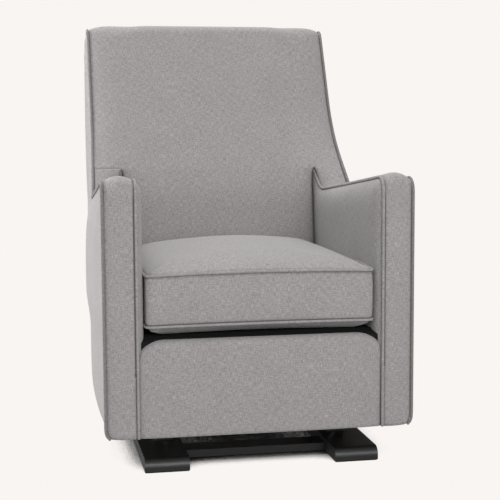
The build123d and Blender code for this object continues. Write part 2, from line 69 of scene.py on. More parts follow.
# Seams: two along each arm, an inner one that ends where the arm meets the back and an outer
# one that runs on up the side of the back
INNER_OUTLINE = [(0.0, SKIRT_Z, 0), (0.004, 0.669, 0.030), (0.559, 0.607, 0.045), (0.606, 0.664, 0)]
OUTER_OUTLINE = [
    (0.008, SKIRT_Z, 0), (0.012, 0.667, 0.030), (0.503, 0.594, 0.045), (0.528, 0.625, 0.100),
    (0.575, 0.667, 0),
]
BACK_EDGE_OUTLINE = [
    (0.575, 0.667, 0), (0.6735, 0.757, 0.55), (0.814, 1.056, 0.026), (0.878, 1.044, 0.038),
    (0.862, 0.960, 0),
]
BACK_MIDDLE_OUTLINE = [
    (0.600, 0.664, 0), (0.684, 0.822, 0.60), (0.797, 1.069, 0.032), (0.884, 1.059, 0.036),
    (0.866, 0.960, 0),
]
BACK_FOOT_OUTLINE = [
    (0.600, 0.664, 0), (0.571, 0.600, 0.30), (0.553, 0.500, 0.25), (0.545, DECK_Z - 0.02, 0),
]
REAR_OUTLINE = [(0.862, 0.960, 0), (0.800, 0.500, 2.5), (0.700, SKIRT_Z, 0)]
INNER_SEAM_Y = (0.0, 0.40, 0.50, 0.555, 0.580, 0.606)
INNER_SEAM_X = (0.289, 0.289, 0.287, 0.281, 0.2755, 0.2695)
OUTER_SEAM_Y = (0.0, 0.25, 0.45, 0.53, 0.60, 0.65, 0.70, 0.90)
OUTER_SEAM_X = (0.361, 0.357, 0.3545, 0.348, 0.3435, 0.340, 0.338, 0.336)
WELT_R = 0.0034
WELT_OUT = 0.0014
# painted shade: the outer welts' cloth is darkened by this much, standing in for the shadow on their sides
OUTER_WELT_PAINTED_SHADE = 0.5
FOLD_DEPTH = 0.0050
FOLD_REACH = 0.0030

# Mesh detail
FINE = 0.0011
COARSE = 0.0085
SKIN = 0.003


# ---- outlines

def rounded(corners, step=0.004):
    """Points along an open run of (y, z, radius) corners, with each corner rounded."""
    points = [np.array(corners[0][:2], float)]
    for before, corner, after in zip(corners, corners[1:], corners[2:]):
        at, radius = np.array(corner[:2]), corner[2]
        if not radius:
            points.append(at)
            continue
        back, ahead = np.array(before[:2]) - at, np.array(after[:2]) - at
        back, ahead = back / np.linalg.norm(back), ahead / np.linalg.norm(ahead)
        half = math.acos(np.clip(back @ ahead, -1, 1)) / 2
        centre = at + (back + ahead) / np.linalg.norm(back + ahead) * radius / math.sin(half)
        start = at + back * radius / math.tan(half) - centre
        end = at + ahead * radius / math.tan(half) - centre
        turn = math.atan2(start[0] * end[1] - start[1] * end[0], start @ end)
        for part in np.linspace(0, 1, max(4, int(abs(turn) * radius / step) + 2)):
            c, s = math.cos(turn * part), math.sin(turn * part)
            offset = (c * start[0] - s * start[1], s * start[0] + c * start[1])
            points.append(centre + np.array(offset))
    points.append(np.array(corners[-1][:2], float))
    return np.array(points)


def lengths(points):
    """Distance along a run of points to each of them."""
    return np.concatenate([[0], np.cumsum(np.linalg.norm(np.diff(points, axis=0), axis=1))])


def at_parts(points, parts):
    """Points at given fractions of the length of a run."""
    along = lengths(points)
    wanted = np.asarray(parts) * along[-1]
    return np.stack([np.interp(wanted, along, points[:, k]) for k in range(points.shape[1])], 1)


def resample(points, count):
    return at_parts(points, np.linspace(0, 1, count))


def graded(length, first=True, last=True, fine=FINE, coarse=COARSE):
    """Fractions of a length, close together beside the ends that are seams."""
    places, step = [0.0], fine
    while places[-1] < length:
        from_first = places[-1] if first else 9.0
        from_last = max(length - places[-1], 0) if last else 9.0
        near = min(from_first, from_last)
        step = min(coarse, max(fine, fine + 0.32 * near))
        places.append(places[-1] + step)
    return np.array(places) / places[-1]


def normals_2d(points):
    """Unit normals of a (y, z) run, to its left."""
    tangent = np.gradient(points, axis=0)
    tangent /= np.linalg.norm(tangent, axis=1)[:, None]
    return np.stack([-tangent[:, 1], tangent[:, 0]], 1)


def puffed(distance, reach):
    """How far a padded panel has risen at some distance from its seam, from 0 to 1."""
    return 1 - np.exp(-np.maximum(distance, 0) / reach)


def fold(distance):
    """Depth of the fold where a panel turns in beside its welt."""
    return -FOLD_DEPTH * np.exp(-np.maximum(distance, 0) / FOLD_REACH)


def seam_painted_shade(distance):
    """How much a point lies in the painted shade beside a seam, from 0 to 1: the cloth there is darkened
    to stand in for the shadow in the fold.
    """
    return np.exp(-(np.maximum(distance, 0) / 0.0036) ** 2)


def smooth(x):
    x = np.clip(x, 0, 1)
    return x * x * (3 - 2 * x)


def inner_x(y):
    return np.interp(y, INNER_SEAM_Y, INNER_SEAM_X)


def outer_x(y, z):
    """The outer seam's half-width, turned in a little at the foot of the arm."""
    foot = np.clip(1 - (z - SKIRT_Z) / 0.026, 0, 1)
    return np.interp(y, OUTER_SEAM_Y, OUTER_SEAM_X) - 0.011 * (1 - np.sqrt(1 - foot ** 2))


def ripples(points, size, height, seed):
    """Gentle unevenness of stretched fabric at each point, in metres."""
    flat = points.reshape(-1, 3)
    values = [noise.noise(Vector(p) / size + Vector((seed, 2.3 * seed, -seed))) for p in flat]
    return height * np.array(values).reshape(points.shape[:-1])


def to_frame(x, yz):
    """Points of the row frame from x and (y, z) measured from the arm's front."""
    return np.stack([x, yz[..., 0] + FRONT_Y, yz[..., 1]], -1)


def line_distance(points, line):
    """Distance of each point to a run of straight segments, in 2 or 3 dimensions."""
    flat = points.reshape(-1, points.shape[-1])
    best = np.full(len(flat), np.inf)
    for a, b in zip(line[:-1], line[1:]):
        span = b - a
        part = np.clip((flat - a) @ span / max(span @ span, 1e-12), 0, 1)
        best = np.minimum(best, ((flat - a - part[:, None] * span) ** 2).sum(1))
    return np.sqrt(best).reshape(points.shape[:-1])


# ---- meshes

def mesh_object(name, vertices, faces, uv=None, seam=None):
    mesh = bpy.data.meshes.new(name)
    mesh.from_pydata([tuple(v) for v in vertices], [], [tuple(f) for f in faces])
    mesh.update()
    if uv is not None:
        layer = mesh.uv_layers.new(name="cloth")
        index = np.zeros(len(mesh.loops), int)
        mesh.loops.foreach_get("vertex_index", index)
        layer.data.foreach_set("uv", np.asarray(uv, float)[index].ravel())
    # the 'seam' attribute is painted shade: how much the cloth is darkened beside its seams, standing in
    # for the shadow in their folds
    if seam is not None:
        attribute = mesh.attributes.new("seam", "FLOAT", "POINT")
        attribute.data.foreach_set("value", np.asarray(seam, np.float32).ravel())
    mesh.polygons.foreach_set("use_smooth", [True] * len(mesh.polygons))
    piece = bpy.data.objects.new(name, mesh)
    bpy.context.scene.collection.objects.link(piece)
    return piece


def sheet_faces(rows, columns, first=0):
    """Quads of a grid of points, numbered row by row."""
    return [
        (first + r * columns + c, first + r * columns + c + 1,
         first + (r + 1) * columns + c + 1, first + (r + 1) * columns + c)
        for r in range(rows - 1) for c in range(columns - 1)
    ]


def grid_uv(points):
    """Cloth coordinates in metres: along the mean row and the mean column of a grid."""
    across = lengths(points.mean(0))
    along = lengths(points.mean(1))
    return np.stack(np.broadcast_arrays(across[None, :], along[:, None]), -1)


def merge(piece, distance=1e-5):
    edit = bmesh.new()
    edit.from_mesh(piece.data)
    bmesh.ops.remove_doubles(edit, verts=edit.verts, dist=distance)
    edit.to_mesh(piece.data)
    edit.free()


def weld_blocks(name, blocks):
    """One mesh from (points, uv, seam, flip) grids, joined where their edges meet."""
    vertices, faces, uvs, seams = [], [], [], []
    for points, uv, seam, flip in blocks:
        block = sheet_faces(points.shape[0], points.shape[1], len(vertices))
        faces += [f[::-1] for f in block] if flip else block
        vertices += list(points.reshape(-1, 3))
        uvs += list(uv.reshape(-1, 2))
        seams += list(seam.ravel())
    piece = mesh_object(name, vertices, faces, uvs, seams)
    merge(piece)
    return piece


def grid_object(name, points, flip=False, uv=None, seam=None):
    uv = grid_uv(points) if uv is None else uv
    seam = np.zeros(points.shape[:2]) if seam is None else seam
    return weld_blocks(name, [(points, uv, seam, flip)])


def thicken(piece, depth=SKIN):
    """Gives a cover its thickness, inwards."""
    solid = piece.modifiers.new("thickness", "SOLIDIFY")
    solid.thickness = depth
    solid.offset = -1
    return piece


def coons(bottom, top, left, right, across, along):
    """A grid between four edges, at given fractions across and along."""
    u, v = across[None, :, None], along[:, None, None]
    low, high = at_parts(bottom, across), at_parts(top, across)
    start, end = at_parts(left, along), at_parts(right, along)
    ruled = (1 - v) * low[None] + v * high[None] + (1 - u) * start[:, None] + u * end[:, None]
    corners = (1 - u) * ((1 - v) * low[0] + v * high[0]) + u * ((1 - v) * low[-1] + v * high[-1])
    return ruled - corners


def mirrored(points):
    return points * np.array([-1, 1, 1])


def tube(name, path, radius, closed=False, sides=12, shade=0.0):
    """A covered cord along a run of points, cut on the bias. Its shade is painted shade: how far its cloth
    is darkened to stand in for shadow, from 0 to 1, the darkest.
    """
    points = np.array(path)
    count = len(points)
    if closed:
        tangent = np.roll(points, -1, 0) - np.roll(points, 1, 0)
    else:
        tangent = np.gradient(points, axis=0)
    tangent /= np.linalg.norm(tangent, axis=1)[:, None]
    run = np.concatenate([[0], np.cumsum(np.linalg.norm(np.diff(points, axis=0), axis=1))])
    up = Vector(tangent[0]).orthogonal().normalized()
    vertices, uvs = [], []
    for p, t, along in zip(points, tangent, run):
        t = Vector(t)
        up = (up - t * up.dot(t)).normalized()
        side = t.cross(up)
        for k in range(sides):
            angle = 2 * math.pi * k / sides
            vertices.append(Vector(p) + (up * math.cos(angle) + side * math.sin(angle)) * radius)
            around = abs(2 * k / sides - 1) * math.pi * radius
            uvs.append(((along + around) * 0.7071, (along - around) * 0.7071))
    rings = count if closed else count - 1
    faces = [
        (i * sides + k, (i + 1) % count * sides + k, (i + 1) % count * sides + (k + 1) % sides,
         i * sides + (k + 1) % sides)
        for i in range(rings) for k in range(sides)
    ]
    if not closed:
        faces.append(tuple(range(sides)))
        faces.append(tuple(reversed(range((count - 1) * sides, count * sides))))
    piece = mesh_object(name, vertices, faces, uvs, np.full(len(vertices), shade))
    edit = bmesh.new()
    edit.from_mesh(piece.data)
    bmesh.ops.recalc_face_normals(edit, faces=edit.faces)
    edit.to_mesh(piece.data)
    edit.free()
    return piece


# ---- materials

def node_tree(name):
    material = bpy.data.materials.new(name)
    material.use_nodes = True
    nodes, links = material.node_tree.nodes, material.node_tree.links
    shader = nodes["Principled BSDF"]
    return material, nodes, links, shader


def math_node(nodes, links, operation, a, b=None):
    node = nodes.new("ShaderNodeMath")
    node.operation = operation
    for socket, value in zip(node.inputs, (a, b)):
        if value is None:
            continue
        if isinstance(value, (int, float)):
            socket.default_value = value
        else:
            links.new(value, socket)
    return node.outputs[0]


def stretched(nodes, links, source, scale):
    """Coordinates from source, scaled by a different amount each way."""
    mapping = nodes.new("ShaderNodeMapping")
    mapping.inputs["Scale"].default_value = scale
    links.new(source, mapping.inputs["Vector"])
    return mapping.outputs[0]


def noise_node(nodes, links, vector, scale, detail=2.0, roughness=0.5):
    node = nodes.new("ShaderNodeTexNoise")
    node.inputs["Scale"].default_value = scale
    node.inputs["Detail"].default_value = detail
    node.inputs["Roughness"].default_value = roughness
    links.new(vector, node.inputs["Vector"])
    return node.outputs["Fac"]


def ramp_node(nodes, links, fac, stops):
    node = nodes.new("ShaderNodeValToRGB")
    while len(node.color_ramp.elements) < len(stops):
        node.color_ramp.elements.new(0.5)
    for element, (place, colour) in zip(node.color_ramp.elements, stops):
        element.position = place
        element.color = (*colour, 1)
    links.new(fac, node.inputs["Fac"])
    return node.outputs["Color"]


def bump_node(nodes, links, height, strength, distance, normal=None):
    node = nodes.new("ShaderNodeBump")
    node.inputs["Strength"].default_value = strength
    node.inputs["Distance"].default_value = distance
    links.new(height, node.inputs["Height"])
    if normal is not None:
        links.new(normal, node.inputs["Normal"])
    return node.outputs["Normal"]


def tweed(name, dark, middle, light, thread=0.0011):
    """A plain-woven linen-look cloth of uneven, heathered threads. Its coordinates are in metres."""
    material, nodes, links, shader = node_tree(name)
    uv = nodes.new("ShaderNodeUVMap")
    uv.uv_map = "cloth"
    cloth = uv.outputs["UV"]
    # slubs: short uneven streaks along the warp and along the weft
    warp = noise_node(nodes, links, stretched(nodes, links, cloth, (540, 84, 1)), 1.0, 3.0, 0.62)
    weft = noise_node(nodes, links, stretched(nodes, links, cloth, (84, 540, 1)), 1.0, 3.0, 0.62)
    fine = noise_node(nodes, links, stretched(nodes, links, cloth, (980, 980, 1)), 1.0, 2.0, 0.6)
    slub = math_node(nodes, links, "ADD", warp, weft)
    slub = math_node(nodes, links, "MULTIPLY", slub, 0.5)
    heather = math_node(nodes, links, "MULTIPLY", fine, 0.35)
    mixed = math_node(nodes, links, "MULTIPLY", slub, 0.65)
    mixed = math_node(nodes, links, "ADD", mixed, heather)
    colour = ramp_node(nodes, links, mixed, [(0.40, dark), (0.5, middle), (0.60, light)])
    # broad, faint change of tone over the cloth
    broad = noise_node(nodes, links, cloth, 14.0, 2.0)
    tone = nodes.new("ShaderNodeMix")
    tone.data_type = "RGBA"
    tone.blend_type = "MULTIPLY"
    tone.inputs["Factor"].default_value = 1.0
    links.new(colour, tone.inputs["A"])
    links.new(ramp_node(nodes, links, broad, [(0.3, (0.95,) * 3), (0.7, (1.0,) * 3)]), tone.inputs["B"])
    # painted shade: the cloth is darkened towards near-black along each seam by the mesh's 'seam'
    # attribute, standing in for the shadow in the folds beside the welts
    seam = nodes.new("ShaderNodeAttribute")
    seam.attribute_name = "seam"
    edge = nodes.new("ShaderNodeMix")
    edge.data_type = "RGBA"
    edge.blend_type = "MULTIPLY"
    links.new(math_node(nodes, links, "MULTIPLY", seam.outputs["Fac"], 0.75), edge.inputs["Factor"])
    links.new(tone.outputs["Result"], edge.inputs["A"])
    edge.inputs["B"].default_value = (0.16, 0.15, 0.15, 1)
    links.new(edge.outputs["Result"], shader.inputs["Base Color"])
    # threads over and under each other
    separate = nodes.new("ShaderNodeSeparateXYZ")
    links.new(cloth, separate.inputs[0])
    waves = []
    for along in separate.outputs[:2]:
        turns = math_node(nodes, links, "MULTIPLY", along, math.pi / thread)
        waves.append(math_node(nodes, links, "SINE", turns))
    weave = math_node(nodes, links, "MULTIPLY", *waves)
    weave = math_node(nodes, links, "MULTIPLY", weave, 0.35)
    height = math_node(nodes, links, "ADD", weave, math_node(nodes, links, "MULTIPLY", slub, 1.6))
    links.new(bump_node(nodes, links, height, 0.55, 0.0009), shader.inputs["Normal"])
    rough = math_node(nodes, links, "MULTIPLY", fine, 0.2)
    links.new(math_node(nodes, links, "ADD", rough, 0.78), shader.inputs["Roughness"])
    shader.inputs["Sheen Weight"].default_value = 0.22
    shader.inputs["Sheen Roughness"].default_value = 0.45
    shader.inputs["Specular IOR Level"].default_value = 0.18
    return material


def object_coordinates(nodes):
    return nodes.new("ShaderNodeTexCoord").outputs["Object"]


def grained(name, dark, light, stretch, roughness, bump, coat=0.0):
    """Wood, or paint over wood, with its grain along one direction."""
    material, nodes, links, shader = node_tree(name)
    where = object_coordinates(nodes)
    grain = noise_node(nodes, links, stretched(nodes, links, where, stretch), 1.0, 5.0, 0.62)
    pores = noise_node(nodes, links, stretched(nodes, links, where, [4 * s for s in stretch]), 1.0, 2.0)
    links.new(ramp_node(nodes, links, grain, [(0.35, dark), (0.65, light)]), shader.inputs["Base Color"])
    height = math_node(nodes, links, "ADD", grain, math_node(nodes, links, "MULTIPLY", pores, 0.5))
    links.new(bump_node(nodes, links, height, bump, 0.0004), shader.inputs["Normal"])
    rough = math_node(nodes, links, "MULTIPLY", pores, 0.18)
    links.new(math_node(nodes, links, "ADD", rough, roughness - 0.09), shader.inputs["Roughness"])
    shader.inputs["Coat Weight"].default_value = coat
    shader.inputs["Coat Roughness"].default_value = 0.3
    return material


def plywood(name):
    """Pale plywood: long grain on its face and thin plies across its thickness."""
    material, nodes, links, shader = node_tree(name)
    where = object_coordinates(nodes)
    grain = noise_node(nodes, links, stretched(nodes, links, where, (30, 60, 6)), 1.0, 5.0, 0.6)
    plies = nodes.new("ShaderNodeTexWave")
    plies.bands_direction = "X"
    plies.inputs["Scale"].default_value = 110
    plies.inputs["Distortion"].default_value = 0.4
    links.new(where, plies.inputs["Vector"])
    mixed = math_node(nodes, links, "ADD", math_node(nodes, links, "MULTIPLY", grain, 0.75),
                      math_node(nodes, links, "MULTIPLY", plies.outputs["Fac"], 0.25))
    links.new(ramp_node(nodes, links, mixed, [(0.3, (0.36, 0.23, 0.13)), (0.7, (0.62, 0.46, 0.30))]),
              shader.inputs["Base Color"])
    links.new(bump_node(nodes, links, mixed, 0.3, 0.0004), shader.inputs["Normal"])
    shader.inputs["Roughness"].default_value = 0.7
    return material


def metal(name, dark, light, metallic, roughness, speckle=900.0, bump=0.15):
    """Painted or plated steel with fine speckle and uneven gloss."""
    material, nodes, links, shader = node_tree(name)
    where = object_coordinates(nodes)
    fine = noise_node(nodes, links, where, speckle, 3.0)
    broad = noise_node(nodes, links, where, 40.0, 3.0)
    links.new(ramp_node(nodes, links, broad, [(0.3, dark), (0.7, light)]), shader.inputs["Base Color"])
    links.new(bump_node(nodes, links, fine, bump, 0.0002), shader.inputs["Normal"])
    rough = math_node(nodes, links, "MULTIPLY", broad, 0.2)
    links.new(math_node(nodes, links, "ADD", rough, roughness - 0.1), shader.inputs["Roughness"])
    shader.inputs["Metallic"].default_value = metallic
    return material


def coarse_cloth(name, dark, light, thread):
    """Plain cloth for hidden sheets and straps, by place in the chair."""
    material, nodes, links, shader = node_tree(name)
    where = object_coordinates(nodes)
    speck = noise_node(nodes, links, where, 0.5 / thread, 2.0)
    links.new(ramp_node(nodes, links, speck, [(0.35, dark), (0.65, light)]), shader.inputs["Base Color"])
    links.new(bump_node(nodes, links, speck, 0.5, 0.0006), shader.inputs["Normal"])
    shader.inputs["Roughness"].default_value = 0.92
    shader.inputs["Specular IOR Level"].default_value = 0.15
    return material


FABRIC = tweed("upholstery_tweed", (0.225, 0.209, 0.208), (0.336, 0.314, 0.312), (0.475, 0.447, 0.443))
# painted shade: the welts' cloth is a slightly darker copy of the upholstery tweed, so the cords read as
# the dark lines of their shadowed folds
WELT_FABRIC_PAINTED_SHADE = tweed("welt_tweed_painted_shade", (0.215, 0.200, 0.199), (0.326, 0.304, 0.302), (0.465, 0.437, 0.433))
NODE_MATERIALS = {
    "black_wood": grained("black_painted_wood", (0.004,) * 3, (0.007,) * 3, (9, 3, 60), 0.45, 0.12, 0.15),
    "frame_wood": grained(
        "frame_hardwood", (0.33, 0.20, 0.11), (0.60, 0.43, 0.27), (14, 14, 90), 0.62, 0.35
    ),
    "plywood": plywood("frame_plywood"),
    "black_steel": metal("black_powder_coat", (0.010,) * 3, (0.018,) * 3, 0.0, 0.5, 1400.0, 0.3),
    "zinc_steel": metal("zinc_plated_steel", (0.48, 0.48, 0.50), (0.66, 0.66, 0.65), 1.0, 0.34),
    "spring_steel": metal("spring_steel", (0.20, 0.20, 0.21), (0.33, 0.33, 0.33), 1.0, 0.42),
    "pad_rubber": coarse_cloth("floor_pad_rubber", (0.012,) * 3, (0.03,) * 3, 0.002),
    "webbing": coarse_cloth("elastic_webbing", (0.05, 0.04, 0.035), (0.16, 0.13, 0.11), 0.001),
    "black_cloth": coarse_cloth("black_deck_cloth", (0.006,) * 3, (0.014,) * 3, 0.0008),
    "foam": coarse_cloth("upholstery_foam", (0.66, 0.60, 0.46), (0.80, 0.75, 0.62), 0.0015),
    "upholstery_fabric": FABRIC,
    "welt_fabric": WELT_FABRIC_PAINTED_SHADE,
}


def dress_cad_nodes():
    """Each carried-over CAD node takes the detailed material of its slot."""
    slots = {part["node"]: part["material_slot"] for part in frame["record"]["subparts"]}
    for node, piece in frame["nodes"].items():
        piece.data.materials.clear()
        piece.data.materials.append(NODE_MATERIALS[slots[node]])


def cover(piece, material, slot, *nodes, fill=0.8, body="chair"):
    """Finishes an upholstered piece: its cloth, its body and the CAD nodes it stands for."""
    piece.data.materials.append(material)
    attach(piece, body)
    if nodes:
        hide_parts(*nodes)
    return piece


# ---- arms and back

def arm_path(outline):
    """One arm seam from its foot to the back, with stations that match the other seam's."""
    path = rounded(outline)
    corner = int(np.argmin(np.linalg.norm(path - np.array([0.012, 0.665]), axis=1)))
    valley = int(np.argmin(np.where(path[:, 0] > 0.3, path[:, 1], 9.0)))
    pieces = ((path[:corner + 1], 76), (path[corner:valley + 1], 74), (path[valley:], 26))
    runs = [resample(piece, count) for piece, count in pieces]
    return np.vstack([runs[0], runs[1][1:], runs[2][1:]])


INNER_PATH = arm_path(INNER_OUTLINE)
OUTER_PATH = arm_path(OUTER_OUTLINE)
BAND_PARTS = graded(0.066)
EDGE_PATH = rounded(BACK_EDGE_OUTLINE)
ROWS = graded(lengths(EDGE_PATH)[-1], first=False)
EDGE_PATH = at_parts(EDGE_PATH, ROWS)
MIDDLE_PATH = at_parts(rounded(BACK_MIDDLE_OUTLINE), ROWS)
FOOT_PATH = rounded(BACK_FOOT_OUTLINE)
FOOT_PATH = resample(FOOT_PATH, int(lengths(FOOT_PATH)[-1] / 0.006))
JOIN_X = INNER_SEAM_X[-1]
JOIN_OUT_X = float(outer_x(*EDGE_PATH[0]))
MIDDLE_PARTS = 2 * graded(2 * JOIN_X) - 1


def upper_grid():
    """The back above the arms, from side seam to side seam and over its top."""
    inner = JOIN_X / JOIN_OUT_X
    side = inner + (1 - inner) * BAND_PARTS
    c = np.concatenate([-side[::-1], MIDDLE_PARTS[1:-1] * inner, side])[None, :]
    half = outer_x(EDGE_PATH[:, 0], EDGE_PATH[:, 1])[:, None]
    along = lengths(EDGE_PATH)[:, None]
    left_over = along[-1] - along
    distance = (1 - np.abs(c)) * half
    height = 0.006 + 0.009 * smooth(along / 0.16)
    normal = normals_2d(EDGE_PATH)
    level = EDGE_PATH + normal * height
    wing = smooth((np.abs(c) - 0.50) / 0.50)[..., None]
    yz = MIDDLE_PATH[:, None] + (level - MIDDLE_PATH)[:, None] * wing
    sink = height * np.exp(-distance / 0.024) - fold(distance)
    rear = 0.010 * np.exp(-left_over / 0.014) - fold(left_over)
    yz = yz - normal[:, None] * (sink + rear)[..., None]
    # the panel dips a little where the arms' welts run in under it
    from_join = np.hypot((np.abs(c) - inner) * half, along)
    yz[..., 0] += 0.006 * np.exp(-(from_join / 0.022) ** 2)
    points = to_frame(c * half, yz)
    uv = np.stack(np.broadcast_arrays(c * JOIN_OUT_X, along), -1)
    # painted shade along the side seams and along the seam behind the top
    seam = np.maximum(seam_painted_shade(distance), seam_painted_shade(left_over + 0 * distance))
    return points, uv, seam


def band_grid(top):
    """The right arm's band: up the front, along the arm, and up to meet the back panel."""
    t = BAND_PARTS[None, :]
    inner_edge, outer_edge = INNER_PATH[:, None], OUTER_PATH[:, None]
    yz = inner_edge + (outer_edge - inner_edge) * t[..., None]
    x_in = inner_x(INNER_PATH[:, 0])[:, None]
    x_out = outer_x(OUTER_PATH[:, 0], OUTER_PATH[:, 1])[:, None]
    x = x_in + (x_out - x_in) * t
    width = x_out - x_in
    left_over = (lengths(INNER_PATH)[-1] - lengths(INNER_PATH))[:, None]
    on_front = (INNER_PATH[:, :1] < 0.1) * smooth((0.640 - INNER_PATH[:, 1:]) / 0.05 + 0.5)
    arc = (0.0125 - 0.0075 * on_front) * np.sin(math.pi * t) ** 0.85
    into_back = smooth(1 - left_over / 0.09)
    opens = 1 - smooth(1 - left_over / 0.012)
    crown = (1 - into_back) * arc + fold(t * width) * opens + fold((1 - t) * width)
    middle_line = (INNER_PATH + OUTER_PATH) / 2
    yz = yz + normals_2d(middle_line)[:, None] * crown[..., None]
    points = to_frame(x, yz)
    # the last rows swing into the back panel's own shape
    plain = to_frame(x[-1:], (inner_edge + (outer_edge - inner_edge) * t[..., None])[-1:])
    reshape = top[None] - plain - (points[-1:] - plain)
    points = points + reshape * np.exp(-(left_over / 0.040) ** 2)[..., None]
    uv = np.stack(np.broadcast_arrays(JOIN_X + (JOIN_OUT_X - JOIN_X) * t, -left_over), -1)
    # painted shade along the band's two seams
    seam = np.maximum(seam_painted_shade(t * width) * opens, seam_painted_shade((1 - t) * width))
    return points, uv, seam


def lower_grid(top):
    """The back between the arms, from the join down behind the cushion."""
    along = lengths(FOOT_PATH)[:, None]
    half = inner_face_x(FOOT_PATH[:, 0])[:, None]
    half = half + (JOIN_X - half) * np.exp(-along / 0.020) - 0.0004
    c = MIDDLE_PARTS[None, :]
    distance = (1 - np.abs(c)) * half
    recede = (0.017 * np.exp(-distance / 0.011) + 0.008 * np.exp(-distance / 0.003))
    recede = recede * puffed(along, 0.012)
    y = FOOT_PATH[:, :1] + recede
    points = to_frame(c * half, np.stack([y, np.broadcast_to(FOOT_PATH[:, 1:], y.shape)], -1))
    points = points + (top[None] - points[:1]) * np.exp(-(along / 0.045) ** 2)[..., None]
    uv = np.stack(np.broadcast_arrays(c * JOIN_X, -along), -1)
    # painted shade along the sides of the lower back
    return points, uv, seam_painted_shade(distance - 0.001) * puffed(along, 0.006)


def inner_face_x(y):
    """How far from the middle the padded inner face of an arm stands."""
    return 0.2695 - 0.0055 * smooth(np.asarray(y) / 0.5)


BACK_RIPPLES = (0.17, 0.0016, 1.0)  # size, height and seed of the back panel's unevenness


def make_back_and_bands():
    """One unbroken cover: the back's front panel runs down into both arms' bands."""
    upper, upper_uv, upper_painted_shade = upper_grid()
    from_side = JOIN_OUT_X - np.abs(upper[..., 0])
    upper[..., 1] -= ripples(upper, *BACK_RIPPLES) * smooth(from_side / 0.06)
    inner = len(BAND_PARTS) - 1
    outer = inner + len(MIDDLE_PARTS) - 1
    band, band_uv, band_painted_shade = band_grid(upper[0, outer:])
    lower, lower_uv, lower_painted_shade = lower_grid(upper[0, inner:outer + 1])
    below = lengths(FOOT_PATH)[:, None]
    lower[..., 1] -= ripples(lower, *BACK_RIPPLES) * (1 - np.exp(-(below / 0.045) ** 2))
    left_uv = band_uv * np.array([-1, 1])
    piece = weld_blocks("back_and_arm_bands", [
        (upper, upper_uv, upper_painted_shade, False), (lower, lower_uv, lower_painted_shade, True),
        (band, band_uv, band_painted_shade, False), (mirrored(band), left_uv, band_painted_shade, True),
    ])
    thicken(piece)
    cover(piece, FABRIC, "upholstery_fabric", "back_cover", "arm_band_left", "arm_band_right",
          "back_foam")


def hem(points, inwards):
    """Adds rows that fold an edge under, towards the given direction."""
    tucks = ((0.022, 0.004), (0.010, 0.0005), (0.002, -0.0006))
    rows = [points[0] + np.array(inwards) * w + np.array([0, 0, lift]) for w, lift in tucks]
    return np.concatenate([np.array(rows), points])


def make_side_covers():
    """The outer sides: one panel each, inside the outer seam, bowed outwards."""
    seam_run = np.vstack([OUTER_PATH, EDGE_PATH[1:]])
    rear = rounded(REAR_OUTLINE)
    corner = int(np.argmin(np.linalg.norm(seam_run - np.array([0.020, 0.665]), axis=1)))
    peak = int(np.argmax(seam_run[:, 1]))
    rear_run = np.vstack([seam_run[peak:], rear[1:]])
    across = graded(lengths(seam_run[corner:peak])[-1], coarse=0.010)
    along = graded(0.6, first=False, coarse=0.010)
    bottom = np.array([seam_run[0], rear_run[-1]])
    yz = coons(bottom, seam_run[corner:peak + 1], seam_run[:corner + 1], rear_run[::-1], across, along)
    distance = line_distance(yz, np.vstack([seam_run[::2], rear[::3], rear[-1:]]))
    foot = yz[..., 1] - SKIRT_Z
    depth, height = yz[..., 0], yz[..., 1]
    # fullest at mid-depth and beside the back, and flatter along the foot
    bow = 0.012 + 0.009 * np.sin(np.clip(depth / 0.75, 0, 1) * math.pi)
    bow = bow + 0.007 * smooth((height - 0.40) / 0.25) * np.exp(-((depth - 0.80) / 0.13) ** 2)
    bow = bow - 0.009 * smooth((0.37 - height) / 0.10)
    reach = 0.040 + 0.050 * smooth(1 - depth / 0.35)
    bulge = bow * puffed(distance, reach) * (0.35 + 0.65 * puffed(foot, 0.035))
    bulge += fold(distance) - 0.004 * np.exp(-foot / 0.02)
    points = to_frame(outer_x(yz[..., 0], yz[..., 1]) + bulge, yz)
    points[..., 0] += ripples(points, 0.22, 0.0018, 5.0) * puffed(distance, 0.06)
    # painted shade along the side panel's seam
    seam = seam_painted_shade(distance)
    points = hem(points, (-1, 0, 0))
    seam = np.concatenate([seam[:1]] * 3 + [seam])
    for side, grid in (("right", points), ("left", mirrored(points))):
        piece = grid_object(f"outer_side_{side}", grid, flip=side == "left", seam=seam)
        thicken(piece)
        cover(piece, FABRIC, "upholstery_fabric", f"side_cover_{side}")


def make_outside_back():
    """The outside of the back, from the seam behind its top down to the floor edge."""
    rear = rounded(REAR_OUTLINE)
    rear = resample(rear, int(lengths(rear)[-1] / 0.011))
    half = outer_x(rear[:, 0], rear[:, 1])[:, None]
    c = 2 * graded(0.68) - 1
    distance = (1 - np.abs(c[None])) * half
    along = lengths(rear)[:, None]
    lift = 0.008 * puffed(distance, 0.02) * puffed(along, 0.015) + fold(distance) + fold(along)
    yz = rear[:, None] + normals_2d(rear)[:, None] * lift[..., None]
    points = to_frame(c[None] * half, yz)
    points[..., 1] += ripples(points, 0.2, 0.0016, 9.0) * puffed(distance, 0.05)
    # painted shade along the outside back's side seams and top seam
    seam = np.maximum(seam_painted_shade(distance), seam_painted_shade(along + 0 * distance))[::-1]
    points = hem(points[::-1], (0, -1, 0))
    seam = np.concatenate([0 * seam[:1]] * 3 + [seam])
    piece = grid_object("outside_back", points, flip=True, seam=seam)
    thicken(piece)
    cover(piece, FABRIC, "upholstery_fabric", "outside_back_cover")


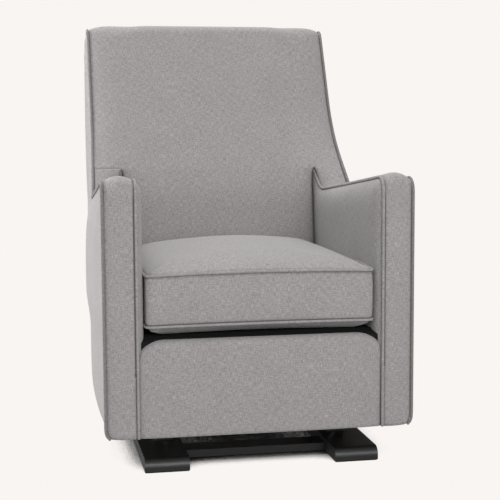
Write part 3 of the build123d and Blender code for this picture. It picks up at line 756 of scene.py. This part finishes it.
def make_inner_arms():
    """The inner face of each arm, puffed inwards from its welted edge."""
    low_z = DECK_Z - 0.085
    edge = np.vstack([[0.0, low_z], INNER_PATH[INNER_PATH[:, 1] > low_z]])
    corner = int(np.argmin(np.linalg.norm(edge - np.array([0.012, 0.665]), axis=1)))
    # behind the back panel's edge, out of sight
    tuck = FOOT_PATH + np.array([0.034, 0])
    tuck = np.vstack([edge[-1], tuck[(tuck[:, 1] < 0.640) & (tuck[:, 1] > low_z)], [tuck[-1][0], low_z]])
    across = graded(0.62, last=False, coarse=0.008)
    along = graded(0.38, first=False, coarse=0.008)
    bottom = np.array([edge[0], tuck[-1]])
    yz = coons(bottom, edge[corner:], edge[:corner + 1], tuck[::-1], across, along)
    distance = line_distance(yz, edge)
    seam_side = inner_x(yz[..., 0])
    face = inner_face_x(yz[..., 0])
    x = seam_side + (face - seam_side) * puffed(distance, 0.014) - fold(distance)
    points = to_frame(x, yz)
    points[..., 0] += ripples(points, 0.14, 0.0016, 12.0) * puffed(distance, 0.05)
    # painted shade along the inner arm's welted edge
    seam = seam_painted_shade(distance)
    for side, grid in (("right", points), ("left", mirrored(points))):
        piece = grid_object(f"inner_arm_{side}", grid, flip=side == "right", seam=seam)
        thicken(piece)
        nodes = [f"inner_arm_cover_{side}"] + (["arm_pads"] if side == "right" else [])
        cover(piece, FABRIC, "upholstery_fabric", *nodes)


APRON_HALF_X = 0.2875
APRON_CORNER = (0.062, 0.042)
APRON_TOP_Z = DECK_Z - 0.006


def make_apron():
    """The front rail's cover: softly crowned, with rounded top corners and a rolled top edge."""
    roll = 0.016
    x = APRON_HALF_X * (2 * graded(2 * APRON_HALF_X) - 1)
    past = np.clip((np.abs(x) - (APRON_HALF_X - APRON_CORNER[0])) / APRON_CORNER[0], 0, 0.998)
    top_z = APRON_TOP_Z - APRON_CORNER[1] * (1 - np.sqrt(1 - past ** 2))
    rows = []
    side = APRON_HALF_X - np.abs(x)
    for v in np.linspace(0, 1, 36):
        z = SKIRT_Z + (top_z - roll - SKIRT_Z) * v
        y = 0.004 - 0.006 * puffed(side, 0.030) - fold(side)
        rows.append(np.stack([x, y, z], 1))
    front = rows[-1][:, 1]
    for angle in np.linspace(0, math.pi / 2, 12)[1:]:
        y = front + roll * (1 - math.cos(angle))
        rows.append(np.stack([x, y, top_z - roll + roll * math.sin(angle)], 1))
    for back in (0.008, 0.018, 0.028):
        rows.append(np.stack([x, front + roll + back, top_z - back * 0.08], 1))
    grid = np.array(rows)
    points = to_frame(grid[..., 0], grid[..., 1:])
    points[..., 1] += ripples(points, 0.12, 0.0012, 20.0)
    points = hem(points, (0, 1, 0))
    # painted shade towards the apron's sides
    seam = np.broadcast_to(seam_painted_shade(side)[None], points.shape[:2])
    piece = grid_object("front_apron", points, seam=seam)
    thicken(piece)
    cover(piece, FABRIC, "upholstery_fabric", "apron")


def proud(yz, out):
    """A seam's run moved outwards, so that its welt stands proud of the panels."""
    return yz + normals_2d(yz) * out


def make_welts():
    """Covered cords: along both edges of each arm, and on up the sides of the back."""
    inner = proud(INNER_PATH, WELT_OUT)
    inner_run = to_frame(inner_x(INNER_PATH[:, 0]) - WELT_OUT, inner)
    end = inner_run[-1] + np.array([[0.0, 0.004, 0.003], [0.001, 0.012, 0.004]])
    inner_run = np.vstack([inner_run[:-1], end])
    edge = np.vstack([OUTER_PATH, EDGE_PATH[1:]])
    outer_run = to_frame(outer_x(edge[:, 0], edge[:, 1]) + WELT_OUT, proud(edge, WELT_OUT))
    rear = rounded(REAR_OUTLINE)
    rear_run = to_frame(outer_x(rear[:, 0], rear[:, 1]) + WELT_OUT, proud(rear, WELT_OUT))
    outer_run = np.vstack([outer_run, rear_run[2:]])
    for side, flip in (("right", 1), ("left", -1)):
        for name, path, node, shade in (
            ("inner", inner_run, "inner_arm_welts", 0.0),
            ("outer", outer_run, "side_welts", OUTER_WELT_PAINTED_SHADE),
        ):
            run = resample(path, int(lengths(path)[-1] / 0.005)) * np.array([flip, 1, 1])
            piece = tube(f"{name}_welt_{side}", run, WELT_R, shade=shade)
            piece.data.materials.append(WELT_FABRIC_PAINTED_SHADE)
            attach(piece, "chair")
            if side == "right":
                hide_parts(node)


# ---- seat cushion

CUSHION_HALF_X = 0.2655
CUSHION_Y = (0.011, 0.552)
CUSHION_SEAMS = (0.333, 0.450)
CUSHION_CORNER = 0.013
CUSHION_PRESSURE = 4.0
CUSHION_SWELL = 0.010  # as far as the padding may push the cloth
CUSHION_CROWN = (0.021, 0.030)


def cushion_plan(parts_x, parts_y):
    """The cushion's plan as a grid, whose outermost ring has rounded corners."""
    u, v = np.meshgrid(2 * parts_x - 1, 2 * parts_y - 1)
    half_x, half_y = CUSHION_HALF_X, (CUSHION_Y[1] - CUSHION_Y[0]) / 2
    x, y = u * half_x, v * half_y
    over_x = np.clip(np.abs(x) - (half_x - CUSHION_CORNER), 0, None)
    over_y = np.clip(np.abs(y) - (half_y - CUSHION_CORNER), 0, None)
    both = np.minimum(over_x, over_y) / CUSHION_CORNER
    pull = 1 - both * (1 - math.sqrt(0.5))
    x = np.sign(x) * (np.abs(x) - over_x * (1 - pull))
    y = np.sign(y) * (np.abs(y) - over_y * (1 - pull))
    # sides bow out a little between their corners
    x = x * (1 + 0.006 * (1 - v ** 2))
    return x, y + (CUSHION_Y[0] + CUSHION_Y[1]) / 2, u, v


def seam_bow(u, v):
    """The seams rise a little between the corners."""
    return 0.005 * (1 - np.minimum(np.abs(u), np.abs(v)) ** 2)


def edge_ring(grid):
    """The outermost ring of a grid, in order, without repeating its first point."""
    return np.concatenate([grid[0, :-1], grid[:-1, -1], grid[-1, :0:-1], grid[:0:-1, 0]])


def cushion_mesh():
    """A box cushion: top and bottom panels and the boxing sewn between them."""
    length_x, length_y = 2 * CUSHION_HALF_X, CUSHION_Y[1] - CUSHION_Y[0]
    parts_x = graded(length_x, fine=0.003, coarse=0.009)
    parts_y = graded(length_y, fine=0.003, coarse=0.009)
    x, y, u, v = cushion_plan(parts_x, parts_y)
    edge = np.minimum((1 - np.abs(u)) * CUSHION_HALF_X, (1 - np.abs(v)) * length_y / 2)
    back = np.clip((v + 1) / 2, 0, 1) ** 1.25
    pillow = np.clip(1 - u ** 2, 0, 1) ** 1.4 * np.sin(math.pi * np.clip(back, 0, 1)) ** 0.6
    lift = 0.0140 * puffed(edge, 0.009) + CUSHION_CROWN[1] * pillow
    low_z, high_z = CUSHION_SEAMS
    top = to_frame(x, np.stack([y, high_z + seam_bow(u, v) * np.exp(-edge / 0.05) + lift], -1))
    sink = CUSHION_CROWN[0] * puffed(edge, 0.010)
    low = to_frame(x, np.stack([y, low_z + 0.4 * seam_bow(u, v) * np.exp(-edge / 0.05) - sink], -1))
    plan_uv = np.stack([x, y], -1)
    # painted shade beside the welts: full on the bottom panel, a quarter as strong on the top panel
    near = seam_painted_shade(edge - 0.001)
    ring_top, ring_low = edge_ring(top), edge_ring(low)
    outward = edge_ring(np.stack([np.sign(u) * (np.abs(u) > 0.999), np.sign(v) * (np.abs(v) > 0.999)], -1))
    outward = outward / np.linalg.norm(outward, axis=1)[:, None]
    parts = graded(high_z - low_z, fine=0.003, coarse=0.009)
    bow = 0.0060 * np.sin(math.pi * parts) ** 0.6
    boxing = ring_low[None] + (ring_top - ring_low)[None] * parts[:, None, None]
    boxing[..., :2] += outward[None] * bow[:, None, None]
    boxing = np.concatenate([boxing, boxing[:, :1]], 1)
    around = lengths(np.vstack([ring_top, ring_top[:1]]))
    boxing_uv = np.stack(np.broadcast_arrays(around[None, :], (parts * (high_z - low_z))[:, None]), -1)
    box_edge = np.minimum(parts, 1 - parts) * (high_z - low_z)
    # painted shade beside the boxing's two welts
    boxing_painted_shade = np.broadcast_to(seam_painted_shade(box_edge - 0.001)[:, None], boxing.shape[:2])
    piece = weld_blocks("seat_cushion", [
        (top, plan_uv, 0.25 * near, False), (low, plan_uv + 0.7, near, True),
        (boxing, boxing_uv + 1.3, boxing_painted_shade, False),
    ])
    return piece, ring_low, ring_top


def coordinates(piece):
    flat = np.zeros(len(piece.data.vertices) * 3)
    piece.data.vertices.foreach_get("co", flat)
    return flat.reshape(-1, 3)


def set_coordinates(piece, points):
    piece.data.vertices.foreach_set("co", points.ravel())
    piece.data.update()


def inflate(piece, rings, pressure, cap, frames=20):
    """Pads a closed shape by cloth simulation, with its two seams held where they are."""
    rest = coordinates(piece)
    near = np.minimum(*(line_distance(rest, np.vstack([ring, ring[:1]])) for ring in rings))
    held = piece.vertex_groups.new(name="seams")
    for index in np.nonzero(near < 0.0015)[0]:
        held.add([int(index)], 1.0, "REPLACE")
    cloth = piece.modifiers.new("cloth", "CLOTH")
    settings = cloth.settings
    settings.use_pressure = True
    settings.uniform_pressure_force = pressure
    settings.vertex_group_mass = "seams"
    settings.effector_weights.gravity = 0
    settings.tension_stiffness = settings.compression_stiffness = 12
    settings.bending_stiffness = 0.8
    scene = bpy.context.scene
    scene.frame_start, scene.frame_end = 1, frames
    cloth.point_cache.frame_start = 1
    cloth.point_cache.frame_end = frames
    for number in range(1, frames + 1):
        scene.frame_set(number)
    graph = bpy.context.evaluated_depsgraph_get()
    padded = bpy.data.meshes.new_from_object(piece.evaluated_get(graph))
    swollen = np.zeros(len(padded.vertices) * 3)
    padded.vertices.foreach_get("co", swollen)
    bpy.data.meshes.remove(padded)
    piece.modifiers.clear()
    scene.frame_set(1)
    moved = swollen.reshape(-1, 3) - rest
    far = np.linalg.norm(moved, axis=1)
    moved *= np.minimum(1, cap / np.maximum(far, 1e-9))[:, None]
    set_coordinates(piece, rest + moved)
    piece.vertex_groups.clear()
    return near


def make_cushion():
    piece, ring_low, ring_top = cushion_mesh()
    rings = (ring_low, ring_top)
    inflate(piece, rings, CUSHION_PRESSURE, CUSHION_SWELL)
    points = coordinates(piece)
    near = np.minimum(*(line_distance(points, np.vstack([ring, ring[:1]])) for ring in rings))
    normals = np.array([v.normal for v in piece.data.vertices])
    # the panels gather slightly where they are sewn to the welts
    gather = np.array([noise.noise(Vector((p[0] * 60, p[1] * 60, p[2] * 14))) for p in points])
    points += normals * (gather * 0.0006 * np.exp(-near / 0.016) - 0.0030 * np.exp(-near / 0.003))[:, None]
    points[:, 2] += ripples(points, 0.13, 0.0014, 41.0) * puffed(near, 0.03)
    points[:, 2] = np.maximum(points[:, 2], DECK_Z + 0.0012)
    limit = float(inner_face_x(0.5)) + 0.003
    points[:, 0] = np.clip(points[:, 0], -limit, limit)
    set_coordinates(piece, points)
    finer = piece.modifiers.new("finer", "SUBSURF")
    finer.levels = finer.render_levels = 1
    cover(piece, FABRIC, "upholstery_fabric", "cushion_foam", "cushion_top", "cushion_boxing",
          "cushion_bottom", fill=0.85, body="cushion")
    for name, ring in zip(("bottom", "top"), rings):
        middle = ring.mean(0)
        out = (ring - middle) / np.linalg.norm((ring - middle)[:, :2], axis=1)[:, None]
        shift = (WELT_OUT + 0.0014) * np.array([1, 1, 0])
        run = np.vstack([ring + out * shift, ring[:1] + out[:1] * shift])
        run = resample(run, int(lengths(run)[-1] / 0.004))[:-1]
        welt = tube(f"cushion_welt_{name}", run, WELT_R - 0.0003, closed=True)
        welt.data.materials.append(WELT_FABRIC_PAINTED_SHADE)
        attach(welt, "cushion")
        if name == "top":
            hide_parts("cushion_welts")


# ---- sheets under the seat

def make_sheet(name, node, sag, replaced):
    """A stretched cloth over the springs or below them, sagging a little between its edges."""
    low_corner, high_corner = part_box(node)
    x = np.linspace(low_corner.x, high_corner.x, 60)
    y = np.linspace(low_corner.y, high_corner.y, 60)
    grid_x, grid_y = np.meshgrid(x, y)
    u = (grid_x - x[0]) / (x[-1] - x[0])
    v = (grid_y - y[0]) / (y[-1] - y[0])
    z = high_corner.z - 0.0004 - sag * np.sin(math.pi * u) * np.sin(math.pi * v)
    points = np.stack([grid_x, grid_y, z], -1)
    points[..., 2] += ripples(points, 0.05, 0.0004, 31.0) * np.sin(math.pi * u) * np.sin(math.pi * v)
    piece = grid_object(name, points)
    thicken(piece, 0.0008)
    piece.data.materials.append(NODE_MATERIALS["black_cloth"])
    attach(piece, "chair")
    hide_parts(*replaced)
    flat = (float(x[-1] - x[0]), float(y[-1] - y[0]))
    return piece, flat


def make_rail_cloth():
    """Black cloth from the deck over the front rail and down its face, behind the apron."""
    face_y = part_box("front_rail")[0].y - 0.0020
    run = [(face_y, 0.215), (face_y, 0.2985), (face_y + 0.006, 0.3010), (face_y + 0.030, DECK_Z - 0.001)]
    run = resample(np.array(run), 24)
    x = np.linspace(-0.291, 0.291, 40)
    points = np.array([[(across, y, z) for across in x] for y, z in run])
    points[..., 2] += ripples(points, 0.05, 0.0003, 37.0)
    piece = grid_object("rail_cloth", points)
    thicken(piece, 0.0008)
    piece.data.materials.append(NODE_MATERIALS["black_cloth"])
    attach(piece, "chair")
    return piece, (float(x[-1] - x[0]), float(lengths(run)[-1]))


# ---- studio

CAMERA_X = -0.5465
CAMERA_DISTANCE = 2.69131
CAMERA_Z = 0.80723
CAMERA_ANGLES = (10.89, 6.28, -0.23)  # yaw, pitch and roll in degrees
CAMERA_LENS = 87.23


def make_camera():
    """The camera stands in front, to the left of the chair, a little above its arms."""
    yaw, pitch, roll = (math.radians(angle) for angle in CAMERA_ANGLES)
    place = Vector((CAMERA_X, FRONT_Y - CAMERA_DISTANCE, CAMERA_Z))
    forward = Vector((math.sin(yaw) * math.cos(pitch), math.cos(yaw) * math.cos(pitch), -math.sin(pitch)))
    right = Vector((math.cos(yaw), -math.sin(yaw), 0))
    up = right.cross(forward)
    turned_right = right * math.cos(roll) + up * math.sin(roll)
    turned_up = up * math.cos(roll) - right * math.sin(roll)
    camera = bpy.data.cameras.new("camera")
    camera.sensor_width = 36
    camera.lens = CAMERA_LENS
    camera.clip_end = 50
    piece = bpy.data.objects.new("camera", camera)
    bpy.context.scene.collection.objects.link(piece)
    rotation = Matrix((turned_right, turned_up, -forward)).transposed()
    piece.matrix_world = Matrix.Translation(place) @ rotation.to_4x4()
    bpy.context.scene.camera = piece


def area_light(name, place, target, size, power, colour=(1, 1, 1)):
    light = bpy.data.lights.new(name, "AREA")
    light.shape = "RECTANGLE"
    light.size, light.size_y = size
    light.energy = power
    light.color = colour
    piece = bpy.data.objects.new(name, light)
    bpy.context.scene.collection.objects.link(piece)
    turn = (Vector(target) - Vector(place)).to_track_quat("-Z", "Y").to_matrix()
    piece.matrix_world = Matrix.Translation(Vector(place)) @ turn.to_4x4()


BACKDROP = (0.947, 0.913, 0.888)


def make_studio():
    """A pale backdrop, a pale floor with a painted shadow under the chair, a low key from the left, a
    light above, one in front, and a fill.
    """
    world = bpy.data.worlds.new("studio")
    bpy.context.scene.world = world
    world.use_nodes = True
    nodes, links = world.node_tree.nodes, world.node_tree.links
    seen = nodes["Background"]
    seen.inputs["Color"].default_value = (*BACKDROP, 1)
    fill = nodes.new("ShaderNodeBackground")
    fill.inputs["Color"].default_value = (0.95, 0.97, 1.0, 1)
    fill.inputs["Strength"].default_value = 0.50
    path = nodes.new("ShaderNodeLightPath")
    either = nodes.new("ShaderNodeMixShader")
    links.new(path.outputs["Is Camera Ray"], either.inputs[0])
    links.new(fill.outputs[0], either.inputs[1])
    links.new(seen.outputs[0], either.inputs[2])
    links.new(either.outputs[0], nodes["World Output"].inputs["Surface"])

    material, nodes, links, shader = node_tree("studio_floor")
    nodes.remove(shader)
    # painted shadow: the camera sees the floor as a glow in the backdrop's colour, which an occlusion ramp
    # turns near-black under and around the chair; all other rays meet a plain grey diffuse floor
    floor_glow_painted_shadow = nodes.new("ShaderNodeEmission")
    near = nodes.new("ShaderNodeAmbientOcclusion")
    near.inputs["Distance"].default_value = 0.45
    links.new(ramp_node(nodes, links, near.outputs["AO"], [(0.17, (0.003,) * 3), (0.29, BACKDROP)]),
              floor_glow_painted_shadow.inputs["Color"])
    matt = nodes.new("ShaderNodeBsdfDiffuse")
    matt.inputs["Color"].default_value = (0.5, 0.5, 0.5, 1)
    path = nodes.new("ShaderNodeLightPath")
    either = nodes.new("ShaderNodeMixShader")
    links.new(path.outputs["Is Camera Ray"], either.inputs[0])
    links.new(matt.outputs[0], either.inputs[1])
    links.new(floor_glow_painted_shadow.outputs[0], either.inputs[2])
    links.new(either.outputs[0], nodes["Material Output"].inputs["Surface"])
    reach = 12.0
    corners = np.array([[(x, y, CAD_BOX[0][2]) for x in (-reach, reach)] for y in (-reach, reach)])
    floor = grid_object("studio_floor", corners)
    floor.data.materials.append(material)
    area_light("key", (-3.0, 0.35, 0.55), (0, 0, 0.40), (1.2, 0.8), 72)
    area_light("top", (-0.4, 1.1, 3.4), (0, 0, 0.4), (1.8, 1.8), 72)
    area_light("front", (0.3, -4.5, 1.8), (0, 0, 0.6), (3.0, 2.2), 116)
    bpy.context.scene.view_settings.view_transform = "Standard"


make_camera()
make_studio()
dress_cad_nodes()
make_back_and_bands()
make_side_covers()
make_outside_back()
make_inner_arms()
make_apron()
make_welts()
make_cushion()
deck, deck_flat = make_sheet("deck_cloth_sheet", "deck_cloth", 0.0006, ["deck_cloth", "deck_pad"])
rail_cloth, rail_flat = make_rail_cloth()
dust, dust_flat = make_sheet("dust_cover_sheet", "dust_cover", 0.0002, ["dust_cover"])
